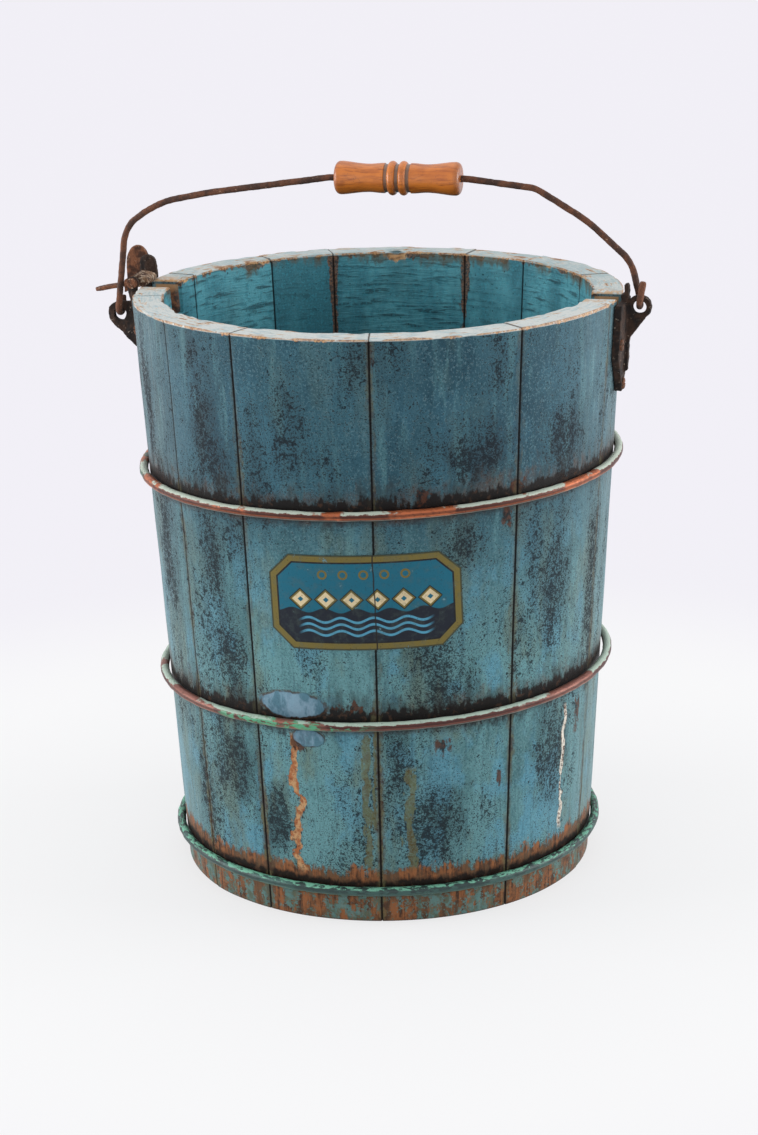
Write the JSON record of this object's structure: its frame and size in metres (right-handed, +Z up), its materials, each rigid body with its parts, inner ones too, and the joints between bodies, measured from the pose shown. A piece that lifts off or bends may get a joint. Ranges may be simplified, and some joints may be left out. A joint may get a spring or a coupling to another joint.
{
  "type": "ice cream freezer tub",
  "caption": "Tapered wooden stave tub of a hand cranked ice cream freezer, with wire hoops, a wire bail with a turned grip and a rim latch.",
  "frame": {"origin": "middle of the tub's foot, on the ground plane", "axes": "+Z up; +X towards the ear with the hook, -X towards the ear with the latch; -Y is the front, where the label is"},
  "size_m": [0.3564, 0.2986, 0.4377],
  "materials": {
    "painted_staves": "worn light blue-green paint over softwood",
    "floor_wood": "stained, paint-splashed boards",
    "hoop_wire": "corroded, with green and rust patches",
    "castings": "rusty and dark",
    "screws": "rusty",
    "bail_wire": "rusty",
    "grip_wood": "worn varnish",
    "label": "varnished transfer, matt with age"
  },
  "bodies": {
    "tub": {"stave_01": "painted_staves", "stave_02": "painted_staves", "stave_03": "painted_staves", "stave_04": "painted_staves", "stave_05": "painted_staves", "stave_06": "painted_staves", "stave_07": "painted_staves", "stave_08": "painted_staves", "stave_09": "painted_staves", "stave_10": "painted_staves", "stave_11": "painted_staves", "stave_12": "painted_staves", "floor_board_1": "floor_wood", "floor_board_2": "floor_wood", "floor_board_3": "floor_wood", "floor_board_4": "floor_wood", "hoop_upper": "hoop_wire", "hoop_middle": "hoop_wire", "hoop_lower": "hoop_wire", "ear_hook_side": "castings", "ear_latch_side": "castings", "ear_hook_screws": "screws", "ear_latch_screws": "screws", "can_socket": "castings", "can_socket_screws": "screws", "label": "label"},
    "bail": {"bail_wire": "bail_wire"},
    "grip": {"bail_grip": "grip_wood"},
    "latch": {"latch_lever": "castings", "latch_cam": "castings", "latch_pin": "screws"}
  },
  "joints": [
    {"name": "bail_swing", "type": "hinge", "parent": "tub", "child": "bail", "pos_m": [-0.166, 0, 0.3462], "axis": [0.9992, 0, 0.0404], "range_deg": [-12, 71]},
    {"name": "grip_spin", "type": "hinge", "parent": "bail", "child": "grip", "pos_m": [0.0141, 0.00055, 0.4274], "axis": [0.9995, 0.0325, 0], "continuous": true},
    {"name": "latch_swing", "type": "hinge", "parent": "tub", "child": "latch", "pos_m": [-0.1522, 0, 0.3623], "axis": [0, 1, 0], "range_deg": [0, 88]}
  ]
}
